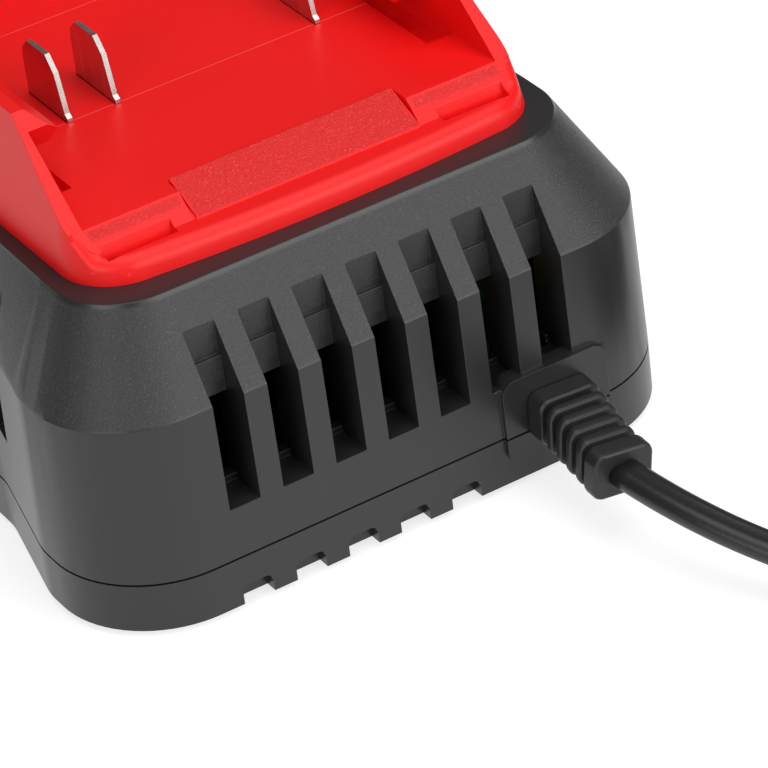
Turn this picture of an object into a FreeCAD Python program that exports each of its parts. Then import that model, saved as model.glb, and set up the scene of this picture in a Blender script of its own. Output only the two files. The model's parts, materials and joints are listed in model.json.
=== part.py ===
import FreeCAD, Part
import math
import os
import re
import Sketcher
from FreeCAD import Vector

# Slide pack battery charger for power tools, in millimetres.
# +Z is up, +X runs along the vented front wall and +Y runs from the cord end to the back.
# The origin is the centre of the standing charger's base, the strain relief included.

SIZES = [
    # overall casing
    ("body_length", 146.0),
    ("body_width", 100.8),
    ("corner_radius", 17.0),
    ("waist_depth", 4.2),
    ("waist_start", 21.0),
    ("waist_end", 40.0),
    ("waist_bend", 14.0),
    ("foot_proud", 1.0),
    ("parting_height", 8.0),
    ("parting_gap", 0.3),
    ("crease_height", 34.0),
    ("wall_draft", 0.6),
    ("ledge_height", 48.8),
    ("ledge_inset", 10.0),
    ("ledge_side_inset", 9.0),
    ("ledge_radius", 11.0),
    ("wall", 2.5),
    ("fit_gap", 0.2),
    # vents
    ("vent_pitch", 9.0),
    ("vent_width", 5.1),
    ("vent_bottom", 16.4),
    ("vent_depth", 6.7),
    ("front_vents", 7),
    ("side_vents", 9),
    ("side_vent_depth", 3.3),
    ("notch_count", 5),
    ("notch_height", 3.1),
    ("baffle_low", 32.0),
    ("baffle_high", 38.0),
    ("baffle_step", 0.7),
    # strain relief and its plate
    ("relief_across", 25.7),
    ("relief_height", 10.5),
    ("relief_out", 20.5),
    ("plate_out", 0.7),
    ("plate_width", 18.4),
    ("plate_tall", 14.2),
    ("relief_wide", 10.4),
    ("relief_tall", 7.4),
    ("relief_core_wide", 7.8),
    ("relief_core_tall", 5.6),
    ("relief_neck_wide", 8.6),
    ("relief_neck_tall", 6.4),
    ("relief_rib", 1.6),
    ("relief_groove", 1.3),
    ("relief_ribs", 4),
    ("relief_shoulder", 3.8),
    # cradle
    ("cradle_half_width", 38.7),
    ("cradle_front", 13.3),
    ("cradle_back_gap", 30.0),
    ("cradle_radius", 9.5),
    ("cradle_bow", 1.4),
    ("cradle_lean", 3.0),
    ("floor_height", 55.4),
    ("floor_plate", 2.5),
    ("lip_height", 52.4),
    ("pad_half", 18.9),
    ("pad_front", 18.4),
    ("pad_back", 26.2),
    ("pad_rise", 0.5),
    ("pocket_floor", 50.5),
    ("pocket_front", 17.2),
    ("pocket_back", 20.8),
    ("pocket_start", 22.5),
    ("pocket_end", 34.0),
    ("mouth_half", 35.0),
    ("ramp_front", 18.8),
    ("ramp_back", 38.0),
    ("rail_start", 34.0),
    ("rail_back_gap", 12.0),
    ("rail_half", 29.4),
    ("rail_under", 59.8),
    ("rail_top", 68.2),
    ("rail_chamfer", 4.6),
    ("rail_lead", 7.0),
    ("trough_half", 30.4),
    ("groove_floor", 53.8),
    # terminals
    ("blade_front", 50.6),
    ("blade_long", 12.2),
    ("blade_tall", 9.8),
    ("blade_thick", 0.8),
    ("blade_outer", 21.4),
    ("blade_inner", 13.3),
    ("blade_slot_gap", 0.1),
    ("block_half", 26.0),
    ("block_front", 46.0),
    ("block_back", 68.0),
    ("block_low", 45.0),
    ("blade_shoulder", 2.0),
    ("blade_tail_low", 37.0),
    # circuit board and what stands on it
    ("board_half", 37.0),
    ("board_front", 20.0),
    ("board_back_gap", 19.0),
    ("light_inset", 4.5),
    ("board_low", 8.0),
    ("board_thick", 1.6),
    ("standoff_radius", 3.2),
    ("standoff_across", 32.5),
    ("standoff_front", 25.0),
    ("standoff_back_inset", 5.5),
    ("post_radius", 3.8),
    ("post_across", 38.5),
    ("post_inset", 13.5),
    ("post_split", 13.0),
    ("foot_radius", 5.5),
    ("foot_recess", 1.2),
    ("foot_across", 35.0),
    ("foot_inset", 33.0),
    # cord, coil and plug
    ("cord_wide", 5.4),
    ("cord_thick", 3.4),
    ("coil_pitch", 6.1),
    ("coil_turns", 7.25),
    ("coil_middle", 28.8),
    ("coil_across", 93.0),
    ("coil_along", -33.0),
    ("coil_lift", 0.8),
    ("coil_layer", 4.2),
    ("coil_tuck", 3.2),
    ("plug_wide", 35.3),
    ("plug_thick", 13.7),
    ("plug_long", 36.0),
    ("pin_radius", 2.0),
    ("pin_root", 1.7),
    ("pin_gap", 0.3),
    ("pin_long", 19.0),
    ("pin_spacing", 18.6),
]

os.makedirs("parts", exist_ok=True)
doc = FreeCAD.newDocument("battery_charger")
sheet = doc.addObject("Spreadsheet::Sheet", "Sizes")
for row, (name, value) in enumerate(SIZES, start=1):
    sheet.set("A%d" % row, name)
    sheet.set("B%d" % row, str(value))
    sheet.setAlias("B%d" % row, name)
doc.recompute()


def size(name):
    return float(sheet.get(name))


# Lengths that several pieces share, worked out from the sheet.
front = (size("relief_out") - size("body_length")) / 2
back = front + size("body_length")
half = size("body_width") / 2
base = size("foot_proud")
parting = base + size("parting_height")
crease = base + size("crease_height")
ledge = base + size("ledge_height")
deck_under = ledge - size("wall")
tray_top = base + size("wall")
floor = base + size("floor_height")
floor_under = floor - size("floor_plate")
rail_top = base + size("rail_top")
cradle_end = size("body_length") - size("cradle_back_gap")
rail_end = cradle_end - size("rail_back_gap")
board_back = size("body_length") - size("board_back_gap")
light_along = board_back - size("light_inset")
board_low = base + size("board_low")
board_top = board_low + size("board_thick")
FRONT = "((relief_out - body_length) / 2)"
BOARD_TOP = "(foot_proud + board_low + board_thick)"
kept = []


def formula(text):
    """Sheet names in a plain formula, written the way an expression needs them."""
    return re.sub(r"[a-z_]{3,}", lambda found: "Sizes." + found.group(0), text)


def bind(item, properties):
    for path, text in properties.items():
        item.setExpression(path, formula(text))


def keep(item, label):
    item.Label = label
    kept.append(item)
    return item


def block(name, corner, lengths):
    """A box from a low corner, its sizes and place bound to the sheet."""
    item = doc.addObject("Part::Box", name)
    bind(item, {"Length": lengths[0], "Width": lengths[1], "Height": lengths[2],
                "Placement.Base.x": corner[0], "Placement.Base.y": corner[1],
                "Placement.Base.z": corner[2]})
    return item


def rod(name, start, radius, length, along="z"):
    """A cylinder from a start point along one axis."""
    item = doc.addObject("Part::Cylinder", name)
    turns = {"z": FreeCAD.Rotation(), "x": FreeCAD.Rotation(Vector(0, 1, 0), 90),
             "y": FreeCAD.Rotation(Vector(1, 0, 0), -90)}
    item.Placement = FreeCAD.Placement(Vector(), turns[along])
    bind(item, {"Radius": radius, "Height": length, "Placement.Base.x": start[0],
                "Placement.Base.y": start[1], "Placement.Base.z": start[2]})
    return item


def join(name, items):
    item = doc.addObject("Part::MultiFuse", name)
    item.Shapes = items
    return item


def cut(name, whole, tools):
    item = doc.addObject("Part::Cut", name)
    item.Base = whole
    item.Tool = tools[0] if len(tools) == 1 else join(name + "_tools", tools)
    return item


def made(label, shape):
    """A piece whose shape needs lofts or sweeps of its own."""
    item = doc.addObject("Part::Feature", label)
    item.Shape = shape
    return keep(item, label)


def one_solid(shape):
    shape = shape.removeSplitter()
    return shape.Solids[0] if len(shape.Solids) == 1 else shape


def fuse_all(shapes):
    return shapes[0].multiFuse(shapes[1:]) if len(shapes) > 1 else shapes[0]


def cuboid(x0, x1, y0, y1, z0, z1):
    return Part.makeBox(x1 - x0, y1 - y0, z1 - z0, Vector(x0, y0, z0))


def cylinder(x, y, z0, z1, radius):
    return Part.makeCylinder(radius, z1 - z0, Vector(x, y, z0))


def rounded_wire(points, radii):
    """A closed wire through the points, each corner rounded by its own radius."""
    count = len(points)
    edges = []
    ends = []
    for index in range(count):
        corner = points[index]
        before = (points[index - 1] - corner).normalize()
        after = (points[(index + 1) % count] - corner).normalize()
        inside = before.getAngle(after)
        reach = radii[index] / math.tan(inside / 2)
        middle = (before + after).normalize() * (radii[index] / math.sin(inside / 2) - radii[index])
        ends.append((corner + before * reach, corner + middle, corner + after * reach))
    for index in range(count):
        start, middle, end = ends[index]
        edges.append(Part.Arc(start, middle, end).toShape())
        edges.append(Part.LineSegment(end, ends[(index + 1) % count][0]).toShape())
    return Part.Wire(edges)


def rounded_rectangle(width, height, radius, centre, right, up):
    """A closed wire for a rounded rectangle in the plane of two unit vectors."""
    corners = [(-1, -1), (1, -1), (1, 1), (-1, 1)]
    points = [centre + right * (width / 2 * a) + up * (height / 2 * b) for a, b in corners]
    return rounded_wire(points, [radius] * 4)


def bar_along_y(width, height, radius, x, z, y0, y1):
    wire = rounded_rectangle(width, height, radius, Vector(x, y0, z), Vector(1, 0, 0), Vector(0, 0, 1))
    return Part.Face(wire).extrude(Vector(0, y1 - y0, 0))


def side_slab(outline, x0, x1):
    """A slab between two X places whose outline is points of Y from the front, and Z from the tray's underside."""
    points = [Vector(x0, front + along, base + up) for along, up in outline]
    return Part.Face(Part.makePolygon(points + [points[0]])).extrude(Vector(x1 - x0, 0, 0))


def casing_wire(side_inset, end_inset, radius, waist, z):
    """The casing's plan at one height: a rounded rectangle drawn in along the middle of its sides."""
    wide = half - side_inset
    low = front + end_inset
    high = back - end_inset
    begin = size("waist_start") + end_inset * 0.4
    deep = size("waist_end") + end_inset * 0.4
    right = [(wide, low), (wide, front + begin), (wide - waist, front + deep),
             (wide - waist, back - deep), (wide, back - begin), (wide, high)]
    outline = right + [(-x, y) for x, y in reversed(right)]
    bend = size("waist_bend")
    rounds = [radius, bend, bend, bend, bend, radius]
    return rounded_wire([Vector(x, y, z) for x, y in outline], rounds + rounds)


def casing_loft(inset, low, top):
    """The closed space inside the upper casing's outline, drawn in by an inset."""
    radius = size("corner_radius") - inset
    lower = casing_wire(inset, inset, radius, size("waist_depth"), low)
    drafted = inset + size("wall_draft")
    fold = crease - inset * 0.55
    middle = casing_wire(drafted, drafted, radius - size("wall_draft"), size("waist_depth"), fold)
    slope = (size("ledge_inset") - size("wall_draft")) / (ledge - crease)
    end_inset = size("ledge_inset") + inset * 0.55
    side_inset = size("ledge_side_inset") + inset * 0.9
    upper = casing_wire(side_inset, end_inset, size("ledge_radius") - inset * slope, 0.4, top)
    return Part.makeLoft([lower, middle, upper], True, True)


def front_vent_places():
    count = int(size("front_vents"))
    return [(index - (count - 1) / 2) * size("vent_pitch") for index in range(count)]


def side_vent_places():
    count = int(size("side_vents"))
    middle = (front + back) / 2
    return [middle + (index - (count - 1) / 2) * size("vent_pitch") for index in range(count)]


def post_places():
    across = size("post_across")
    inset = size("post_inset")
    return [(x, y) for y in (front + inset, back - inset) for x in (-across, across)]


def standoff_places():
    across = size("standoff_across")
    rows = (front + size("standoff_front"), front + board_back - size("standoff_back_inset"))
    return [(x, y) for y in rows for x in (-across, across)]


def foot_places():
    across = size("foot_across")
    inset = size("foot_inset")
    return [(x, y) for y in (front + inset, back - inset) for x in (-across, across)]


relief_x = size("relief_across")
relief_z = base + size("relief_height")


def relief_opening():
    """The opening through the front wall and the plate, and the pocket for the relief's inner flange."""
    gap = size("fit_gap")
    neck = bar_along_y(size("relief_neck_wide") + 2 * gap, size("relief_neck_tall") + 2 * gap, 1.5,
                       relief_x, relief_z, front - size("plate_out") - 1, front + size("wall") + 3)
    return neck


def flange_pocket():
    """Where the relief's inner flange is trapped between the two halves of the casing."""
    return bar_along_y(13.0, 9.0, 2.0, relief_x, relief_z, front + 4.3, front + 7.0)


def lead_pocket():
    return cuboid(relief_x - 3.4, relief_x + 3.4, front + 6, front + 10, relief_z - 2.1, relief_z + 9)


def make_upper_housing():
    wall = size("wall")
    low = parting + size("parting_gap") / 2
    outer = casing_loft(0, low, ledge)
    inner = casing_loft(wall, low - 1, ledge - wall)
    shell = outer.cut(inner)
    depth = size("vent_depth")
    reach = size("front_vents") * size("vent_pitch") / 2 + 1
    thick = cuboid(-reach, reach, front, front + depth + 2, base + size("vent_bottom") - 2, ledge)
    side_reach = size("side_vents") * size("vent_pitch") / 2 + 1
    centre = (front + back) / 2
    waist = half - size("waist_depth")
    backing = cuboid(-(waist + 6), -(waist - size("side_vent_depth") - 2), centre - side_reach,
                     centre + side_reach, base + size("vent_bottom") - 2, crease + 11)
    backings = [backing, backing.mirror(Vector(0, 0, 0), Vector(1, 0, 0))]
    bosses = [cylinder(x, y, base + size("post_split"), ledge, size("post_radius")) for x, y in post_places()]
    solid = fuse_all([shell, thick.common(outer)] + [b.common(outer) for b in backings + bosses])
    tools = []
    width = size("vent_width")
    for x in front_vent_places():
        tools.append(cuboid(x - width / 2, x + width / 2, front - 1, front + depth,
                            base + size("vent_bottom"), ledge + 1))
        tools.append(cuboid(x - width / 2, x + width / 2, front + depth - 0.5, front + depth + 4,
                            base + size("vent_bottom") + 1, base + size("baffle_low")))
    for y in side_vent_places():
        for s in (-1, 1):
            inner_x = waist - size("side_vent_depth")
            x0, x1 = sorted((s * inner_x, s * (waist + 8)))
            tools.append(cuboid(x0, x1, y - width / 2, y + width / 2, base + size("vent_bottom") + 2, crease + 9))
            x0, x1 = sorted((s * (inner_x - 6), s * (inner_x + 0.5)))
            tools.append(cuboid(x0, x1, y - width / 2, y + width / 2, base + size("vent_bottom") + 3,
                                base + size("baffle_low")))
    solid = solid.cut(fuse_all(tools))
    step = size("baffle_step")
    strips = [cuboid(x - width / 2 - 0.1, x + width / 2 + 0.1, front + depth - step, front + depth + 1,
                     base + size("baffle_low"), base + size("baffle_high")) for x in front_vent_places()]
    plate = bar_along_y(size("plate_width"), size("plate_tall"), 2.4, relief_x, relief_z,
                        front - size("plate_out"), front + wall)
    above = cuboid(-half, half, front - 5, back, low, ledge)
    solid = fuse_all([solid, plate.common(above)] + strips)
    holes = [relief_opening(), flange_pocket(), lead_pocket()]
    holes.append(cuboid(-size("block_half") - 0.5, size("block_half") + 0.5, front + size("block_front") - 0.5,
                        front + size("block_back") + 0.5, deck_under - 3, ledge + 1))
    for x, y in cradle_screw_places():
        holes.append(cylinder(x, y, deck_under - 1, ledge + 1, 1.7))
    for x in light_places():
        holes.append(cylinder(x, front + light_along, deck_under - 1, ledge + 1, 2.2))
    for x, y in post_places():
        holes.append(cylinder(x, y, base + size("post_split") - 1, base + size("post_split") + 16, 1.25))
    return one_solid(solid.cut(fuse_all(holes)))


def cradle_screw_places():
    return [(x, front + along) for along in (40.0, rail_end - 6.0) for x in (-24.0, 24.0)]


def light_places():
    return (-6.0, 6.0)


def make_bottom_tray():
    wall = size("wall")
    top = parting - size("parting_gap") / 2
    radius = size("corner_radius")
    waist = size("waist_depth")
    outer = Part.Face(casing_wire(0, 0, radius, waist, base)).extrude(Vector(0, 0, top - base))
    hollow = Part.Face(casing_wire(wall, wall, radius - wall, waist, tray_top)).extrude(Vector(0, 0, 20))
    inset = wall + size("fit_gap")
    tongue_height = top + 2.2 - tray_top
    tongue = Part.Face(casing_wire(inset, inset, radius - inset, waist, tray_top))
    tongue = tongue.extrude(Vector(0, 0, tongue_height))
    inner_inset = inset + 1.3
    tongue_hollow = Part.Face(casing_wire(inner_inset, inner_inset, radius - inner_inset, waist, tray_top))
    tongue = tongue.cut(tongue_hollow.extrude(Vector(0, 0, 20)))
    stiff = Part.Face(casing_wire(wall - 0.6, wall - 0.6, radius - wall, waist, tray_top))
    stiff = stiff.extrude(Vector(0, 0, top - 1.5 - tray_top)).cut(tongue_hollow.extrude(Vector(0, 0, 20)))
    posts = [cylinder(x, y, base, base + size("post_split") - 0.3, size("post_radius")) for x, y in post_places()]
    standoffs = [cylinder(x, y, base, board_low, size("standoff_radius")) for x, y in standoff_places()]
    seat = cuboid(relief_x - 12, relief_x + 8, front + inset, front + wall + 6, base, relief_z)
    solid = fuse_all([outer.cut(hollow), tongue, stiff, seat] + posts + standoffs)
    plate = bar_along_y(size("plate_width"), size("plate_tall"), 2.4, relief_x, relief_z,
                        front - size("plate_out"), front + wall)
    solid = solid.fuse(plate.common(cuboid(-half, half, front - 5, back, base, top)))
    tools = [relief_opening(), flange_pocket(), lead_pocket()]
    width = size("vent_width")
    for x in front_vent_places()[:int(size("notch_count"))]:
        notch = rounded_rectangle(width, 2 * size("notch_height"), 1.2, Vector(x, front - 1, base),
                                  Vector(1, 0, 0), Vector(0, 0, 1))
        tools.append(Part.Face(notch).extrude(Vector(0, 3.2, 0)))
    for x, y in post_places():
        tools.append(cylinder(x, y, base - 1, base + 40, 1.7))
        tools.append(cylinder(x, y, base - 1, base + 6.0, 3.0))
    for x, y in standoff_places():
        tools.append(cylinder(x, y, base + 2.2, base + 40, 1.25))
    for x, y in foot_places():
        tools.append(cylinder(x, y, base - 1, base + size("foot_recess"), size("foot_radius") + 0.1))
    return one_solid(solid.cut(fuse_all(tools)))


def cradle_base_wire(inset, z):
    """The cradle's plan: a bowed front edge, rounded corners and a straight back."""
    wide = size("cradle_half_width") - inset
    low = front + size("cradle_front") + inset
    high = front + cradle_end - inset
    radius = size("cradle_radius")
    bow = size("cradle_bow")
    corner = low + bow
    diagonal = radius * (1 - math.sqrt(0.5))
    edges = [
        Part.Arc(Vector(-wide + radius, corner, z), Vector(0, low, z), Vector(wide - radius, corner, z)),
        Part.Arc(Vector(wide - radius, corner, z), Vector(wide - diagonal, corner + diagonal, z),
                 Vector(wide, corner + radius, z)),
        Part.LineSegment(Vector(wide, corner + radius, z), Vector(wide, high - radius, z)),
        Part.Arc(Vector(wide, high - radius, z), Vector(wide - diagonal, high - diagonal, z),
                 Vector(wide - radius, high, z)),
        Part.LineSegment(Vector(wide - radius, high, z), Vector(-wide + radius, high, z)),
        Part.Arc(Vector(-wide + radius, high, z), Vector(-wide + diagonal, high - diagonal, z),
                 Vector(-wide, high - radius, z)),
        Part.LineSegment(Vector(-wide, high - radius, z), Vector(-wide, corner + radius, z)),
        Part.Arc(Vector(-wide, corner + radius, z), Vector(-wide + diagonal, corner + diagonal, z),
                 Vector(-wide + radius, corner, z)),
    ]
    return Part.Wire([edge.toShape() for edge in edges])


def make_cradle():
    """The tray that a battery slides into: a bowed lip, a floor, and two undercut rails behind rising rims."""
    start = size("cradle_front")
    lip = size("lip_height")
    low = size("ledge_height")
    top = size("rail_top")
    seat = size("floor_height")
    under = size("rail_under")
    lean = size("cradle_lean")
    lofted = Part.makeLoft([cradle_base_wire(0, ledge), cradle_base_wire(lean, rail_top + 2)], True, True)
    profile = [(start - 2, low), (start - 2, lip), (size("ramp_front"), lip), (size("ramp_back"), top),
               (rail_end + 2, top), (cradle_end - 1.5, lip + 2), (cradle_end + 1, lip), (cradle_end + 1, low)]
    solid = lofted.common(side_slab(profile, -60, 60))
    inner = size("mouth_half")
    rail = size("rail_half")
    pad = size("pad_half")
    above = top + 5
    pad_profile = [(start - 4, lip), (size("pad_front"), lip), (size("pad_back"), seat),
                   (size("rail_start"), seat), (size("rail_start"), above), (start - 4, above)]
    rail_nose = size("rail_start") + size("rail_lead")
    nose_slope = 0.925
    mouth_profile = [(start - 4, lip), (size("pocket_front"), lip), (size("pocket_back"), seat), (rail_nose, seat),
                     (rail_nose, under), (rail_nose - nose_slope * (above - under), above), (start - 4, above)]
    pocket_profile = [(size("pocket_front") + 0.1, lip + 1.2), (size("pocket_front") + 0.8, size("pocket_floor")),
                      (size("pocket_back") - 1.5, size("pocket_floor")), (size("pocket_back") + 0.1, seat + 1.0)]
    tools = [side_slab(pad_profile, -pad - 0.3, pad + 0.3)]
    for s in (-1, 1):
        tools.append(side_slab(mouth_profile, *sorted((s * pad, s * inner))))
        tools.append(side_slab(pocket_profile, *sorted((s * size("pocket_start"), s * size("pocket_end")))))
    tools.append(cuboid(-rail, rail, front + size("rail_start") - 1, front + rail_end, floor, rail_top + 5))
    chamfer = size("rail_chamfer")
    for s in (-1, 1):
        wedge = [Vector(s * (rail - 1), front + 30, rail_top - chamfer - 1),
                 Vector(s * (rail + chamfer + 1), front + 30, rail_top + 1),
                 Vector(s * (rail - 1), front + 30, rail_top + 1)]
        tools.append(Part.Face(Part.makePolygon(wedge + [wedge[0]])).extrude(Vector(0, rail_end - 30, 0)))
        for near, bottom, height in ((rail - 0.4, seat, under), (size("trough_half"), size("groove_floor"), under)):
            x0, x1 = sorted((s * near, s * inner))
            tools.append(cuboid(x0, x1, front + size("rail_start"), front + rail_end, base + bottom, base + height))
    under_wide = size("cradle_half_width") - size("wall") - lean * 0.35
    tools.append(cuboid(-under_wide, under_wide, front + size("pad_back"), front + rail_end + 2, ledge - 1,
                        base + size("groove_floor") - 1.6))
    centre_half = rail - 1.5
    tools.append(cuboid(-centre_half, centre_half, front + size("pad_back"), front + rail_end + 2, ledge - 1,
                        floor_under))
    solid = solid.cut(fuse_all(tools))
    bosses = [cylinder(x, y, ledge, floor_under + 0.5, 4.0) for x, y in cradle_screw_places()]
    pad_plate = side_slab([(size("pad_front") - 0.6, lip - 2), (size("pad_front") + 0.2, lip + size("pad_rise")),
                           (size("pad_back") - 0.4, size("floor_height") + size("pad_rise")),
                           (size("pad_back") + 0.6, size("floor_height") - 1)], -pad, pad)
    solid = fuse_all([solid, pad_plate] + bosses)
    holes = [cylinder(x, y, ledge - 1, ledge + 5.0, 1.25) for x, y in cradle_screw_places()]
    gap = size("blade_slot_gap")
    for x in blade_places():
        holes.append(cuboid(x - size("blade_thick") / 2 - gap, x + size("blade_thick") / 2 + gap,
                            front + size("blade_front") - gap, front + size("blade_front") + size("blade_long") + gap,
                            ledge - 1, floor + 1))
    for x, y in block_screw_places():
        holes.append(cylinder(x, y, ledge - 1, floor_under + 1.6, 1.0))
    return one_solid(solid.cut(fuse_all(holes)))


def blade_places():
    return (-size("blade_outer"), -size("blade_inner"), size("blade_outer"))


def block_screw_places():
    y = front + (size("block_front") + size("block_back")) / 2
    return [(-4.0, y), (8.0, y)]


def screw(x, y, seat, length, shank, head, head_height, up=True):
    """A pan head screw with a cross recess; its head's inner face lies at the seat height."""
    way = 1 if up else -1
    low, high = sorted((seat, seat + way * length))
    body = cylinder(x, y, low, high, shank)
    low, high = sorted((seat, seat - way * head_height))
    body = body.fuse(cylinder(x, y, low, high, head))
    outer = seat - way * head_height
    low, high = sorted((outer - way * 0.1, outer + way * head_height * 0.55))
    arm = head * 0.6
    recess = cuboid(x - arm, x + arm, y - 0.35, y + 0.35, low, high)
    recess = recess.fuse(cuboid(x - 0.35, x + 0.35, y - arm, y + arm, low, high))
    return body.cut(recess)


def make_strain_relief():
    wide = size("relief_wide")
    tall = size("relief_tall")
    outer_face = front - size("plate_out")
    shoulder_end = outer_face - size("relief_shoulder")
    tip = front - size("relief_out")
    pieces = [bar_along_y(size("relief_neck_wide"), size("relief_neck_tall"), 1.4, relief_x, relief_z,
                          outer_face - 0.5, front + 5.0)]
    pieces.append(bar_along_y(12.6, 8.6, 1.8, relief_x, relief_z, front + 4.5, front + 6.8))
    pieces.append(bar_along_y(wide - 0.6, tall - 0.2, 1.8, relief_x, relief_z, shoulder_end, outer_face))
    pieces.append(bar_along_y(size("relief_core_wide"), size("relief_core_tall"), 1.6, relief_x, relief_z,
                              tip + 1, shoulder_end + 0.5))
    place = shoulder_end - size("relief_groove")
    for index in range(int(size("relief_ribs"))):
        shrink = 0.25 * index
        pieces.append(bar_along_y(wide - 0.4 - shrink, tall - 0.2 - shrink * 0.5, 1.9, relief_x, relief_z,
                                  place - size("relief_rib"), place))
        place -= size("relief_rib") + size("relief_groove")
    pieces.append(bar_along_y(wide, tall, 2.0, relief_x, relief_z, tip, place))
    return one_solid(fuse_all(pieces))


def outline_body(label, plane, outline, circles, thickness, place):
    """A PartDesign body: one sketch of straight sides and round holes, padded by a bound thickness."""
    body = doc.addObject("PartDesign::Body", label)
    sketch = body.newObject("Sketcher::SketchObject", label + "_sketch")
    origin = [item for item in body.Origin.OriginFeatures if item.Role == plane]
    sketch.AttachmentSupport = [(origin[0], "")]
    sketch.MapMode = "FlatFace"
    corners = [Vector(a, b, 0) for a, b in outline]
    sides = [Part.LineSegment(corners[i], corners[(i + 1) % len(corners)]) for i in range(len(corners))]
    sketch.addGeometry(sides, False)
    for index in range(len(sides)):
        sketch.addConstraint(Sketcher.Constraint("Coincident", index, 2, (index + 1) % len(sides), 1))
    for a, b, radius in circles:
        sketch.addGeometry(Part.Circle(Vector(a, b, 0), Vector(0, 0, 1), radius), False)
    pad = body.newObject("PartDesign::Pad", label + "_pad")
    pad.Profile = sketch
    bind(pad, {"Length": thickness})
    bind(body, {"Placement.Base.x": place[0], "Placement.Base.y": place[1], "Placement.Base.z": place[2]})
    return keep(body, label)


def make_board_and_sheet():
    long = board_back - size("board_front")
    wide = size("board_half")
    start = size("board_front")
    outline = [(-wide, 0), (wide, 0), (wide, long), (-wide, long)]
    spots = [(x, y - front - start) for x, y in standoff_places()]
    outline_body("main_board", "XY_Plane", outline, [(x, y, 1.6) for x, y in spots], "board_thick",
                 ("0", FRONT + " + board_front", "foot_proud + board_low"))
    gap = size("standoff_radius") + 0.3
    small = [(-wide + 0.4, 1), (wide - 0.4, 1), (wide - 0.4, long - 1), (-wide + 0.4, long - 1)]
    outline_body("insulation_sheet", "XY_Plane", small, [(x, y, gap) for x, y in spots], "0.4",
                 ("0", FRONT + " + board_front", "foot_proud + wall"))


def make_blade(label, x):
    long = size("blade_long")
    low = base + size("blade_tail_low")
    seat = base + size("block_low")
    tip = floor + size("blade_tall")
    shoulder = size("blade_shoulder")
    middle = long / 2
    outline = [(middle - 2, low), (middle + 2, low), (middle + 2, seat - 2.2), (long + shoulder, seat - 2.2),
               (long + shoulder, seat), (long, seat), (long, tip - 3.4), (long - 0.5, tip - 1.6),
               (long - 2.3, tip), (4.4, tip), (2.3, tip - 2.4), (0.7, floor + 1.2), (0, floor + 0.7), (0, seat),
               (-shoulder, seat), (-shoulder, seat - 2.2), (middle - 2, seat - 2.2)]
    sign = "-" if x < 0 else ""
    name = "blade_outer" if abs(x) == size("blade_outer") else "blade_inner"
    outline_body(label, "YZ_Plane", outline, [], "blade_thick",
                 ("%s%s - blade_thick / 2" % (sign, name), FRONT + " + blade_front", "0"))


def make_terminal_block():
    whole = block("terminal_block_body", ("-block_half", FRONT + " + block_front", "foot_proud + block_low"),
                  ("2 * block_half", "block_back - block_front", "floor_height - floor_plate - block_low"))
    tools = []
    for number, x in enumerate(("-blade_outer", "-blade_inner", "blade_outer")):
        tools.append(block("blade_slot_%d" % number,
                           (x + " - blade_thick / 2 - blade_slot_gap", FRONT + " + blade_front - blade_slot_gap",
                            "foot_proud + block_low - 1"),
                           ("blade_thick + 2 * blade_slot_gap", "blade_long + 2 * blade_slot_gap", "20")))
    for number, (x, y) in enumerate(block_screw_places()):
        tools.append(rod("block_hole_%d" % number,
                         (str(x), FRONT + " + (block_front + block_back) / 2", "foot_proud + block_low - 1"),
                         "1.2", "20"))
    keep(cut("terminal_block", whole, tools), "terminal_block")


def make_transformer():
    along = 76.0
    core = block("core_body", ("-13", FRONT + " + %g - 7" % along, BOARD_TOP), ("26", "14", "22"))
    windows = [block("core_window_%d" % n, (x, FRONT + " + %g - 8" % along, BOARD_TOP + " + 4"),
                     ("5", "16", "14")) for n, x in enumerate(("-9", "4"))]
    keep(cut("transformer_core", core, windows), "transformer_core")
    coil = block("winding_body", ("-8.8", FRONT + " + %g - 10.5" % along, BOARD_TOP + " + 4.2"),
                 ("17.6", "21", "13.6"))
    leg = block("winding_bore", ("-4.2", FRONT + " + %g - 7.2" % along, BOARD_TOP), ("8.4", "14.4", "30"))
    keep(cut("transformer_winding", coil, [leg]), "transformer_winding")


def make_cans():
    cans = [("input_capacitor", "-24", "41", "9", "30"), ("output_capacitor", "20", "103", "5", "20"),
            ("standby_capacitor", "7", "106", "3.2", "12")]
    for label, x, along, radius, tall in cans:
        place = (x, FRONT + " + " + along, BOARD_TOP)
        keep(rod(label, place, radius, tall), label)


def make_packages():
    boxes = [("filter_capacitor", "6", "33", "18", "8", "14"), ("varistor", "27", "40", "9", "4.4", "10"),
             ("bridge_rectifier", "-13", "43", "20", "4", "12")]
    for label, x, along, long, wide, tall in boxes:
        keep(block(label, (x, FRONT + " + " + along, BOARD_TOP), (long, wide, tall)), label)
    chips = [("control_chip", 31.0, 67.0, 9.6, 6.4), ("charge_controller", -6.0, 104.0, 10.0, 6.2),
             ("optocoupler", 22.0, 77.0, 4.8, 6.4)]
    for label, x, along, long, wide in chips:
        pieces = [block(label + "_body", (str(x - long / 2), FRONT + " + %g" % (along - wide / 2), BOARD_TOP + " + 0.4"),
                        (str(long), str(wide), "3.3"))]
        count = max(2, int(long / 2.4))
        for index in range(count):
            place = x - (count - 1) * 1.27 + index * 2.54
            pieces.append(block("%s_leg_%d" % (label, index),
                                ("%g" % (place - 0.25), FRONT + " + %g" % (along - wide / 2 - 0.9), BOARD_TOP),
                                ("0.5", "%g" % (wide + 1.8), "1.2")))
        keep(join(label, pieces), label)


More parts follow.
